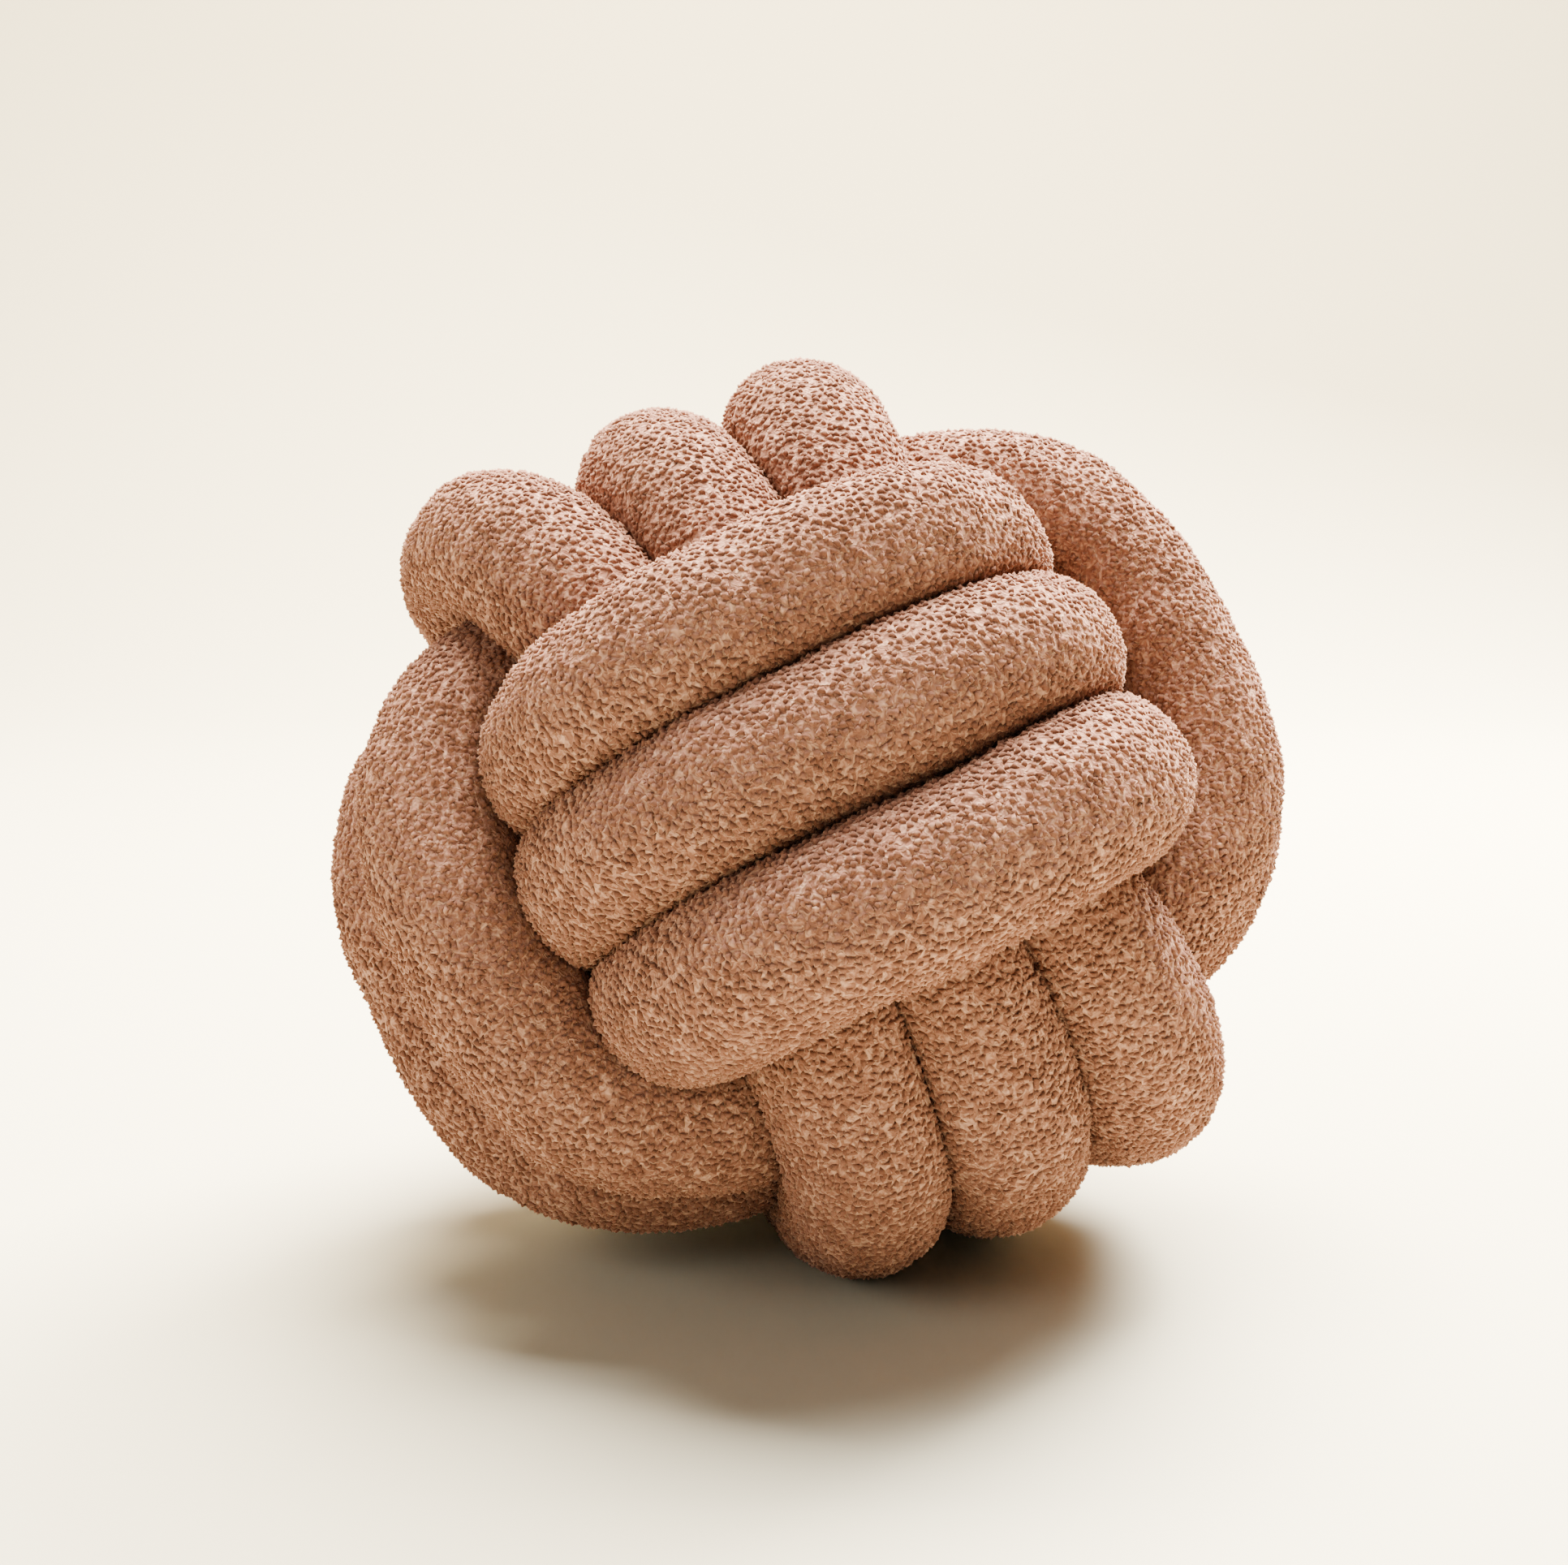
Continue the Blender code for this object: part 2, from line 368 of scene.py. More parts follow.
    def settle(self, points: np.ndarray) -> np.ndarray:
        """Push strands apart to a squeezed tube's width. The inner ones give way.

        Args:
            points: The centre line before it settles.

        Returns:
            The settled centre line.
        """
        shift = np.zeros_like(points)
        depth = self.outer_strands - np.linalg.norm(points, axis=1, keepdims=True)
        give = np.clip(depth / self.tube_radius, self.least_give, 1.0)
        others = self.far_along(len(points), self.length_of(points))
        for _ in range(self.settle_rounds):
            moved = points + shift
            between = moved[:, None] - moved[None]
            distance = np.linalg.norm(between, axis=2) + 1e-9
            too_near = np.clip(self.squeezed_distance / distance - 1, 0, None)
            push = np.where(others, too_near, 0)
            strongest = push.max(axis=1, keepdims=True)
            total = (push[:, :, None] * between).sum(axis=1)
            weight = push.sum(axis=1, keepdims=True) + 1e-9
            shift += self.settle_share * give * total * strongest / weight
            shift = smoothed(shift, self.settle_evening)
        return points + shift

    def centre_line(self, count: int) -> np.ndarray:
        """The tube's settled centre line in the knot's own axes.

        Args:
            count: How many evenly spaced points it gets.

        Returns:
            The points of the closed line.
        """
        route = []
        for index in range(len(self.bands)):
            route += self.band_path(index) + self.hook_path(index)
        smooth = self.curve_through(np.array(route), self.route_steps)
        settled = self.settle(self.spaced_evenly(smooth, self.settle_points))
        return self.spaced_evenly(self.curve_through(settled, self.settled_steps), count)

    def lie_down(self) -> np.ndarray:
        """The turn from the knot's own axes to the way it lies.

        Returns:
            A matrix of three rows and three columns.
        """
        own_axes = Matrix(((1, 0, 0), (0, 1, 0), (0, 0, -1)))
        turn = (Matrix.Rotation(self.back_lean, 3, "X")
                @ Matrix.Rotation(self.side_turn, 3, "Y")
                @ Matrix.Rotation(self.front_slope, 3, "Z"))
        return np.array(turn @ own_axes)


# ---------------------------------------------------------------- skin of the tube
@dataclass
class KnotTube:
    """The stuffed tube's skin: sections along its course, pressed flat where strands meet.

    Lengths are in metres. The seed starts every random draw.
    """

    course: KnotCourse
    rings: int = 1830
    sides: int = 36
    first_side: Triple = (0.3, 0.5, 0.8)
    crease_gap: float = 0.0002
    crease_rounding: float = 0.0016
    searched: float = 8.0       # in radii: strands further off than this don't press
    bend_share: float = 0.85    # how much of a bend's radius its inner side may fill
    bend_evening: int = 12
    bulge_evening: int = 40
    most_bulge: float = 1.10
    middle_swell: float = 1.5
    middle_strands: float = 0.075
    flat_spot_depth: float = 0.0105
    skin_floor: float = 0.0005
    pile_depth: float = 0.0007
    # Lumps are sized along the tube in sections and round it in sides.
    lump_height: float = 0.0006
    long_lumps: tuple[float, float] = (14, 7)
    short_lumps: tuple[float, float] = (3.2, 2.6)
    gather_height: float = 0.0005
    gathers: tuple[float, float] = (2.6, 9)
    gathered_bends: tuple[float, float] = (8.0, 22.0)
    # Rays to the sky: how far a ring of them leans in degrees, their number and their turn.
    sky_rays: tuple[tuple[float, int, float], ...] = ((0, 1, 0.0), (40, 6, 0.0), (70, 6, 0.5))
    ray_side: Triple = (0.31, 0.52, 0.79)
    ray_start: float = 0.0012
    ray_length: float = 0.3
    ray_step: int = 3
    inward_limit: float = -0.4
    air_evening: tuple[int, int] = (3, 1)
    seed: int = 11
    centre: np.ndarray = field(default_factory=lambda: np.zeros(3))
    air: np.ndarray = field(default_factory=lambda: np.zeros(0))

    def frames_along(self, points: np.ndarray) -> tuple[np.ndarray, np.ndarray]:
        """Directions along and across the closed line, turned so that its ends meet.

        Args:
            points: The centre line.

        Returns:
            The directions along it and the directions across it.
        """
        ahead = unit(np.roll(points, -1, axis=0) - np.roll(points, 1, axis=0))
        count = len(points)
        across = np.zeros_like(points)
        across[0] = unit(np.cross(ahead[0], self.first_side))
        for i in range(1, count):
            across[i] = unit(across[i - 1] - ahead[i] * np.dot(across[i - 1], ahead[i]))
        last = across[-1] - ahead[0] * np.dot(across[-1], ahead[0])
        twist = math.atan2(np.dot(np.cross(last, across[0]), ahead[0]), np.dot(last, across[0]))
        turn = np.arange(count)[:, None] * twist / count
        return ahead, np.cos(turn) * across + np.sin(turn) * np.cross(ahead, across)

    def spokes_of(self, ahead: np.ndarray, across: np.ndarray) -> np.ndarray:
        """The directions in which each section reaches out from the centre line.

        Args:
            ahead: The directions along the line.
            across: The directions across it.

        Returns:
            One direction for each side of each section.
        """
        angles = np.arange(self.sides) * 2 * math.pi / self.sides
        second = np.cross(ahead, across)
        return (np.cos(angles)[None, :, None] * across[:, None]
                + np.sin(angles)[None, :, None] * second[:, None])

    def meeting_reach(self, points: np.ndarray, spokes: np.ndarray) -> np.ndarray:
        """How far each spoke reaches before the middle between two strands.

        Args:
            points: The centre line.
            spokes: The directions out from each of its points.

        Returns:
            One length for each spoke.
        """
        length = self.course.length_of(points)
        others = self.course.far_along(len(points), length)
        reach = np.full(spokes.shape[:2], 1.0)
        for i, spoke in enumerate(spokes):
            to_others = points[others[i]] - points[i]
            square = (to_others ** 2).sum(axis=1)
            near = square < (self.searched * self.course.tube_radius) ** 2
            toward = np.maximum(to_others[near] @ spoke.T, 1e-6)
            reach[i] = (square[near][:, None] / (2 * toward)).min(axis=0)
        return reach

    def bends_of(self, points: np.ndarray, ahead: np.ndarray) -> np.ndarray:
        """Which way and how sharply the centre line bends at each point.

        Args:
            points: The centre line.
            ahead: The directions along it.

        Returns:
            A direction for each point, as long as one over the bend's radius.
        """
        step = np.linalg.norm(np.roll(points, -1, axis=0) - np.roll(points, 1, axis=0), axis=1)
        bend = (np.roll(ahead, -1, axis=0) - np.roll(ahead, 1, axis=0)) / step[:, None]
        return smoothed(bend, self.bend_evening)

    def swell(self, points: np.ndarray, spokes: np.ndarray) -> np.ndarray:
        """How much further each spoke may reach where it points into the ball's middle.

        Args:
            points: The centre line.
            spokes: The directions out from each of its points.

        Returns:
            One factor for each spoke, 1 where nothing swells.
        """
        out = np.linalg.norm(points, axis=1)[:, None]
        inward = np.clip(-(spokes * (points / out)[:, None]).sum(axis=2), 0, 1)
        span = self.course.outer_strands - self.middle_strands
        share = np.clip((self.course.outer_strands - out) / span, 0, 1)
        return 1 + self.middle_swell * inward * share

    def lumps(self, sizes: tuple[float, float], seed: int) -> np.ndarray:
        """A smooth random field over the skin, from about -1 to 1, without a seam.

        Args:
            sizes: Size of a lump along the tube in sections, and round it in sides.
            seed: Start of the random numbers.

        Returns:
            One value for each spoke.
        """
        noise = np.random.default_rng(seed).standard_normal((self.rings, self.sides))
        waves = np.fft.fftfreq(self.rings)[:, None] * sizes[0]
        turns = np.fft.fftfreq(self.sides)[None, :] * sizes[1]
        kept = np.exp(-2 * math.pi ** 2 * (waves ** 2 + turns ** 2) * 0.25)
        uneven = np.fft.ifft2(np.fft.fft2(noise) * kept).real
        return np.clip(uneven / (2 * uneven.std()), -1, 1)

    def reach_of(self, points: np.ndarray, spokes: np.ndarray,
                 bends: np.ndarray) -> np.ndarray:
        """How far each spoke of each section reaches.

        Args:
            points: The centre line.
            spokes: The directions out from each of its points.
            bends: Which way and how sharply the line bends.

        Returns:
            One length for each spoke.
        """
        inward = (spokes * bends[:, None]).sum(axis=2)
        limit = np.minimum(self.meeting_reach(points, spokes) - self.crease_gap / 2,
                           self.bend_share / np.maximum(inward, 1e-6))
        radius, rounding = self.course.tube_radius, self.crease_rounding
        start = radius + rounding ** 2 / (4 * radius)
        plain = softly_less(np.full_like(limit, start), limit, rounding)
        kept = (plain ** 2).mean(axis=1) / radius ** 2
        bulge = smoothed(np.clip(kept ** -0.5, 1.0, self.most_bulge), self.bulge_evening)
        free = start * bulge[:, None] * self.swell(points, spokes) - self.pile_depth
        free = free + self.lump_height * self.lumps(self.long_lumps, self.seed)
        free = free + self.lump_height * self.lumps(self.short_lumps, self.seed + 1)
        slight, full = self.gathered_bends
        sharp = np.clip((np.abs(inward) - slight) / (full - slight), 0, 1)
        free = free - self.gather_height * sharp * (1 + self.lumps(self.gathers, self.seed + 2))
        return softly_less(free, limit, rounding)

    def corners(self) -> tuple[np.ndarray, np.ndarray]:
        """The loft's corners where the cushion lies, and the knot's centre there.

        Returns:
            The corners of each section, and the centre.
        """
        points = self.course.centre_line(self.rings)
        ahead, across = self.frames_along(points)
        spokes = self.spokes_of(ahead, across)
        reach = self.reach_of(points, spokes, self.bends_of(points, ahead))
        corners = (points[:, None] + spokes * reach[:, :, None]) @ self.course.lie_down().T
        low, high = corners.min(axis=(0, 1)), corners.max(axis=(0, 1))
        box_low, box_high = (np.array(corner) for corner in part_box("knot_tube"))
        shift = (box_low + box_high) / 2 - (low + high) / 2
        shift[2] = -(low[2] - self.pile_depth + self.flat_spot_depth)
        corners += shift
        corners[:, :, 2] = np.maximum(corners[:, :, 2], self.skin_floor)
        return corners, shift

    def quads(self) -> np.ndarray:
        """The corner numbers of the skin's faces.

        Returns:
            Four corner numbers for each face.
        """
        ring = np.arange(self.rings)[:, None]
        side = np.arange(self.sides)[None]
        after, beside = (ring + 1) % self.rings, (side + 1) % self.sides
        corners = (ring * self.sides + side, ring * self.sides + beside,
                   after * self.sides + beside, after * self.sides + side)
        return np.stack(corners, axis=-1).reshape(-1, 4)

    def open_air(self, mesh: bpy.types.Mesh) -> np.ndarray:
        """How much of each corner's sky is open, from 0 in the ball to 1 on its outside.

        Args:
            mesh: The skin.

        Returns:
            One value for each corner.
        """
        places = places_of(mesh).reshape(self.rings, self.sides, 3)
        normals = np.array([n.vector[:] for n in mesh.vertex_normals])
        normals = normals.reshape(self.rings, self.sides, 3)
        tree = BVHTree.FromPolygons(places.reshape(-1, 3).tolist(), self.quads().tolist())
        away = unit(places - places.mean(axis=(0, 1)))
        tilts = [(math.radians(lean), (k + turn) * math.tau / count)
                 for lean, count, turn in self.sky_rays for k in range(count)]
        coarse = np.zeros((len(range(0, self.rings, self.ray_step)), self.sides))
        for row, ring in enumerate(range(0, self.rings, self.ray_step)):
            for side in range(self.sides):
                normal = normals[ring, side]
                if normal @ away[ring, side] < self.inward_limit:
                    continue
                start = Vector(places[ring, side] + normal * self.ray_start)
                first = unit(np.cross(normal, self.ray_side))
                second = np.cross(normal, first)
                for lean, turn in tilts:
                    flat = math.cos(turn) * first + math.sin(turn) * second
                    ray = math.cos(lean) * normal + math.sin(lean) * flat
                    if tree.ray_cast(start, Vector(ray), self.ray_length)[0] is None:
                        coarse[row, side] += 1 / len(tilts)
        rows = np.arange(self.rings) / self.ray_step
        low = np.floor(rows).astype(int) % len(coarse)
        part = (rows % 1)[:, None]
        fine = coarse[low] * (1 - part) + coarse[(low + 1) % len(coarse)] * part
        along, around = self.air_evening
        return smoothed(smoothed(fine, along).T, around).T.ravel()

    def build(self, finish: "TeddyFleece") -> bpy.types.Object:
        """Build and dress the skin.

        Args:
            finish: The fleece that the tube is sewn from.

        Returns:
            The skin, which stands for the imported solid.
        """
        corners, self.centre = self.corners()
        mesh = bpy.data.meshes.new("tube_skin")
        mesh.from_pydata(corners.reshape(-1, 3).tolist(), [], self.quads().tolist())
        mesh.update()
        if volume_of(mesh) < 0:
            mesh.flip_normals()
        mesh.shade_smooth()
        self.air = self.open_air(mesh)
        keep(mesh, "open_air", self.air)
        mesh.materials.append(finish.ground())
        return shown("tube_skin", mesh)


def volume_of(mesh: bpy.types.Mesh) -> float:
    """The volume that a closed mesh of quads holds, below 0 where its faces point inwards.

    Args:
        mesh: The closed mesh.

    Returns:
        Its volume in cubic metres.
    """
    places, faces = places_of(mesh), corners_of(mesh).reshape(-1, 4)
    a, b, c, d = (places[faces[:, k]] for k in range(4))
    first = np.einsum("ij,ij->i", a, np.cross(b, c)).sum()
    second = np.einsum("ij,ij->i", a, np.cross(c, d)).sum()
    return float(first + second) / 6


# ---------------------------------------------------------------- nodes
def socket(sockets: bpy.types.bpy_prop_collection, key: str) -> bpy.types.NodeSocket:
    """The socket of a node with that identifier, or else with that name."""
    return next((found for found in sockets if found.identifier == key), None) or sockets[key]


@dataclass(frozen=True)
class NodeBench:
    """Adds nodes to a tree and wires them up."""

    tree: bpy.types.NodeTree

    def feed(self, node: bpy.types.Node, sources: dict[str, object]) -> None:
        """Set a node's inputs.

        Args:
            node: The node.
            sources: For each input a socket to link it to, or else its value.
        """
        for key, source in sources.items():
            target = socket(node.inputs, key)
            if isinstance(source, bpy.types.NodeSocket):
                self.tree.links.new(source, target)
            else:
                target.default_value = source

    def add(self, kind: str, sources: dict[str, object] | None = None,
            **settings: str) -> bpy.types.Node:
        """Add a node.

        Args:
            kind: The node's type.
            sources: What its inputs get, as feed takes it.
            settings: Its settings, which are made before its inputs are filled.

        Returns:
            The node.
        """
        node = self.tree.nodes.new(kind)
        for name, value in settings.items():
            setattr(node, name, value)
        self.feed(node, sources or {})
        return node

    def maths(self, operation: str, first: object, second: object) -> bpy.types.NodeSocket:
        """A sum, product or power of two numbers.

        Args:
            operation: What is done with them.
            first: The first number or socket.
            second: The second number or socket.

        Returns:
            The result.
        """
        node = self.add("ShaderNodeMath", operation=operation)
        self.feed(node, {"Value": first, "Value_001": second})
        return node.outputs["Value"]

    def attribute(self, name: str) -> bpy.types.NodeSocket:
        """A number that a mesh keeps under a name, in a Geometry Nodes tree."""
        node = self.add("GeometryNodeInputNamedAttribute", {"Name": name}, data_type="FLOAT")
        return socket(node.outputs, "Attribute")

    def random(self, seed: object, low: object, high: object,
               whole: bool = False) -> bpy.types.NodeSocket:
        """A random number for each point.

        Args:
            seed: Start of the random numbers.
            low: The least that it may be.
            high: The most that it may be.
            whole: Whether it is a whole number.

        Returns:
            The number.
        """
        kind, tail = ("INT", "_002") if whole else ("FLOAT", "_001")
        node = self.add("FunctionNodeRandomValue", data_type=kind)
        self.feed(node, {"Seed": seed, "Min" + tail: low, "Max" + tail: high})
        return socket(node.outputs, "Value" + tail)

    def noise(self, size: float, detail: float, twist: float = 0.0) -> bpy.types.NodeSocket:
        """Noise over a piece's own coordinates, in a material.

        Args:
            size: The width of one patch, in metres.
            detail: How many finer layers it has.
            twist: How strongly its patches are drawn out of round.

        Returns:
            The noise.
        """
        place = self.add("ShaderNodeTexCoord").outputs["Object"]
        noise = self.add("ShaderNodeTexNoise", {"Vector": place, "Scale": 1 / size,
                                                "Detail": detail, "Distortion": twist})
        return noise.outputs["Fac"]

    def ramp(self, value: bpy.types.NodeSocket, stops: tuple[float, ...],
             colours: tuple[Triple, ...]) -> bpy.types.NodeSocket:
        """A ramp of colours.

        Args:
            value: What drives the ramp.
            stops: Where its colours lie, from 0 to 1.
            colours: The colours.

        Returns:
            The colour.
        """
        node = self.add("ShaderNodeValToRGB", {"Fac": value})
        for _ in stops[2:]:
            node.color_ramp.elements.new(0.5)
        for element, stop, colour in zip(node.color_ramp.elements, stops, colours):
            element.position = stop
            element.color = (*colour, 1.0)
        return node.outputs["Color"]

    def bump(self, height: bpy.types.NodeSocket, depth: float) -> bpy.types.NodeSocket:
        """A bump of that depth, in metres, where height goes from 0 to 1."""
        node = self.add("ShaderNodeBump", {"Strength": 1.0, "Distance": depth})
        self.feed(node, {"Height": height})
        return node.outputs["Normal"]


MaterialParts = tuple[bpy.types.Material, NodeBench, bpy.types.Node]


def matt_material(name: str, roughness: float, specular: float) -> MaterialParts:
    """A new material that hardly shines.

    Args:
        name: The material's name.
        roughness: Its roughness.
        specular: Its specular level.

    Returns:
        The material, a bench for its nodes, and its shader.
    """
    material = bpy.data.materials.new(name)
    material.use_nodes = True
    bench = NodeBench(material.node_tree)
    shader = material.node_tree.nodes["Principled BSDF"]
    bench.feed(shader, {"Roughness": roughness, "Specular IOR Level": specular})
    return material, bench, shader


# ---------------------------------------------------------------- finish
@dataclass(frozen=True)
class TeddyFleece:
    """Short curly fleece: matt curls over a dark warm ground, each curl painted darker at its root
    and paler at its tip as shade and light within the pile.
    """

    shade: FleeceShade = FleeceShade.ROSE_BROWN
    roughness: float = 0.92
    specular: float = 0.15
    sheen: float = 0.90
    sheen_spread: float = 0.35
    fibre_size: float = 0.00035
    fibre_depth: float = 0.00012
    # Painted shade at the curls' roots: the share of its paleness that a curl keeps there.
    painted_root_shade: float = 0.50
    curl_stops: Triple = (0.10, 0.56, 0.96)
    grain_size: float = 0.0019
    grain_twist: float = 1.2
    grain_depth: float = 0.0011
    ground_stops: Triple = (0.15, 0.45, 0.85)

    def start(self, name: str) -> MaterialParts:
        """A new material with the fleece's sheen.

        Args:
            name: The material's name.

        Returns:
            The material, a bench for its nodes, and its shader.
        """
        material, bench, shader = matt_material(name, self.roughness, self.specular)
        _, middle, tips = self.shade.value
        bench.feed(shader, {"Sheen Weight": self.sheen, "Sheen Roughness": self.sheen_spread,
                            "Sheen Tint": (*tips, 1.0), "Base Color": (*middle, 1.0)})
        return material, bench, shader

    def ground(self) -> bpy.types.Material:
        """The cloth between the curls, with low curls of its own as bump.

        Returns:
            The material.
        """
        material, bench, shader = self.start("fleece_ground")
        grain = bench.noise(self.grain_size, 1.0, self.grain_twist)
        colour = bench.ramp(grain, self.ground_stops, self.shade.value)
        bench.feed(shader, {"Base Color": colour,
                            "Normal": bench.bump(grain, self.grain_depth)})
        return material

    def curls(self) -> bpy.types.Material:
        """The pile: each curl painted dark at its root and pale at its top as shade and light
        within the pile, darker where it lies deep as painted shade, no two quite alike.

        Returns:
            The material.
        """
        material, bench, shader = self.start("fleece_curls")
        height, tone = (bench.add("ShaderNodeAttribute", attribute_name=name).outputs["Fac"]
                        for name in ("curl_height", "curl_tone"))
        # Painted shade and light within the pile: each curl paler from its root to its top.
        raised = bench.add("ShaderNodeMapRange", {"Value": height, "To Min": self.painted_root_shade})
        paleness = bench.maths("MULTIPLY", raised.outputs["Result"], tone)
        colour = bench.ramp(paleness, self.curl_stops, self.shade.value)
        fibres = bench.noise(self.fibre_size, 2.0)
        bench.feed(shader, {"Base Color": colour,
                            "Normal": bench.bump(fibres, self.fibre_depth)})
        return material


# ---------------------------------------------------------------- pile
TreeInputs = dict[str, tuple[str, object]]


@dataclass(frozen=True)
class CurlPile:
    """The short curls that stand on the fleece wherever its skin shows.

    Lengths are in metres, the lean in radians. Air is the share of the sky that a place sees: no
    curl stands below least_air, and all do from full_air. A curl's colour gets a painted shade that
    deepens as its air falls between two set shares, down to a set share of its tone.
    """

    tube: KnotTube
    length: PileLength = PileLength.SHORT
    curl_length: float = 0.0028
    curl_width: float = 0.0020
    lean: float = 0.45
    smallest: float = 0.8
    largest: float = 1.25
    patch_size: float = 0.008
    patch_share: float = 0.60
    rareness: float = 2.0
    least_air: float = 0.03
    full_air: float = 0.22
    # Painted shade in creases and between strands: where it starts and where it is deepest, in
    # shares of open air, and the share of tone left there.
    darkest_shade_air: float = 0.15
    unshaded_air: float = 0.90
    darkest_shade_share: float = 0.50
    least_tone: float = 0.20
    patch_range: tuple[float, float] = (0.35, 0.65)
    most_a_square_metre: float = 900000.0
    lowest: float = 0.0001
    map_margin: float = 0.01
    map_spread: float = 0.02
    seed: int = 5
    other_seed: float = 17.0    # added to the seed for the draws that have to differ

    def curl_mesh(self, name: str, sway: float, crown: float,
                  sides: tuple[float, float]) -> bpy.types.Object:
        """One curl: a low bent nub, sunk in the skin, with two closed ends.

        Args:
            name: The curl's name.
            sway: How far its middle swings to one side, as a share of its half length.
            crown: How high its middle stands, as a share of the pile's height.
            sides: How far it reaches to the left and right, as shares of its half width.

        Returns:
            The curl, lying along X with Z away from the skin.
        """
        height = self.length.value[0]
        reach, width = self.curl_length / 2, self.curl_width / 2
        middle = sway * reach
        places = (
            (-reach, 0.0, -0.20 * height),
            (0.3 * middle, middle - sides[0] * width, 0.05 * height),
            (0.1 * reach, middle, crown * height),
            (-0.3 * middle, middle + sides[1] * width, 0.0),
            (0.0, middle, -0.50 * height),
            (reach, -0.5 * middle, -0.10 * height),
        )
        last = len(places) - 1
        faces = []
        for k in range(1, last):
            after = k % (last - 1) + 1
            faces += [(0, k, after), (last, after, k)]
        mesh = bpy.data.meshes.new(name)
        mesh.from_pydata(places, [], faces)
        mesh.update()
        mesh.shade_smooth()
        keep(mesh, "curl_height",
             np.clip(np.array([place[2] for place in places]) / height, 0, 1))
        return bpy.data.objects.new(name, mesh)

    def curl_set(self) -> bpy.types.Collection:
        """The few curls that the whole pile repeats.

        Returns:
            A collection that holds them, outside the scene.
        """
        collection = bpy.data.collections.new("curl_set")
        for number, (sway, crown, sides) in enumerate(CURL_FORMS):
            collection.objects.link(self.curl_mesh(f"curl_{number}", sway, crown, sides))
        return collection

    def stance(self, bench: NodeBench, given: bpy.types.bpy_prop_collection,
               upright: bpy.types.NodeSocket,
               other_seed: bpy.types.NodeSocket) -> bpy.types.NodeSocket:
        """How each curl stands: turned any way round, and leaning a little.

        Args:
            bench: The bench of the scattering tree.
            given: The tree's inputs.
            upright: The way that stands straight off the skin.
            other_seed: The second start of random numbers.

        Returns:
            The curl's rotation.
        """
        around = bench.random(given["Seed"], 0.0, math.tau)
        least = bench.maths("MULTIPLY", given["Lean"], -1.0)
        lean = bench.random(other_seed, least, given["Lean"])
        angles = bench.add("ShaderNodeCombineXYZ", {"X": lean, "Z": around})
        turned = bench.add("FunctionNodeEulerToRotation", {"Euler": angles.outputs["Vector"]})
        both = bench.add("FunctionNodeRotateRotation",
                         {"Rotation": upright, "Rotate By": turned.outputs["Rotation"]},
                         rotation_space="LOCAL")
        return both.outputs["Rotation"]

    def tone(self, bench: NodeBench, given: bpy.types.bpy_prop_collection,
             other_seed: bpy.types.NodeSocket) -> bpy.types.NodeSocket:
        """How pale each curl is: partly its own, partly its patch's, and darker where it lies deep,
        which is painted shade.

        Args:
            bench: The bench of the scattering tree.
            given: The tree's inputs.
            other_seed: The second start of random numbers.

        Returns:
            The curl's tone with its painted shade, from 0 to 1.
        """
        place = bench.add("GeometryNodeInputPosition").outputs["Position"]
        finer = bench.maths("DIVIDE", 1.0, given["Patch size"])
        patches = bench.add("ShaderNodeTexNoise", {"Vector": place, "Scale": finer})
        low, high = self.patch_range
        patch = bench.add("ShaderNodeMapRange", {"Value": patches.outputs["Fac"],
                                                 "From Min": low, "From Max": high})
        own = bench.maths("POWER", bench.random(other_seed, 0.0, 1.0),
                          given["Rareness of pale curls"])
        mixed = bench.add("ShaderNodeMix", {"Factor": given["Patch share"], "A": own,
                                            "B": patch.outputs["Result"]})
        raised = bench.add("ShaderNodeMapRange", {"Value": mixed.outputs["Result"],
                                                  "To Min": given["Least tone"]})
        # Painted shade: the tone is dimmed where little sky is open.
        return bench.maths("MULTIPLY", raised.outputs["Result"], bench.attribute("open_sky"))

    def inputs(self, curls: bpy.types.Collection, fleece: bpy.types.Material) -> TreeInputs:
        """The scattering tree's inputs besides the skin.

        Args:
            curls: The curls that it repeats.
            fleece: What the curls are made of.

        Returns:
            The kind and the value of each.
        """
        return {
            "Curls": ("Collection", curls),
            "Fleece": ("Material", fleece),
            "Spacing": ("Float", self.length.value[1]),
            "Smallest": ("Float", self.smallest),
            "Largest": ("Float", self.largest),
            "Lean": ("Float", self.lean),
            "Patch size": ("Float", self.patch_size),
            "Patch share": ("Float", self.patch_share),
            "Rareness of pale curls": ("Float", self.rareness),
            "Least tone": ("Float", self.least_tone),
            "Seed": ("Int", self.seed),
            "Kinds": ("Int", len(curls.objects) - 1),
        }

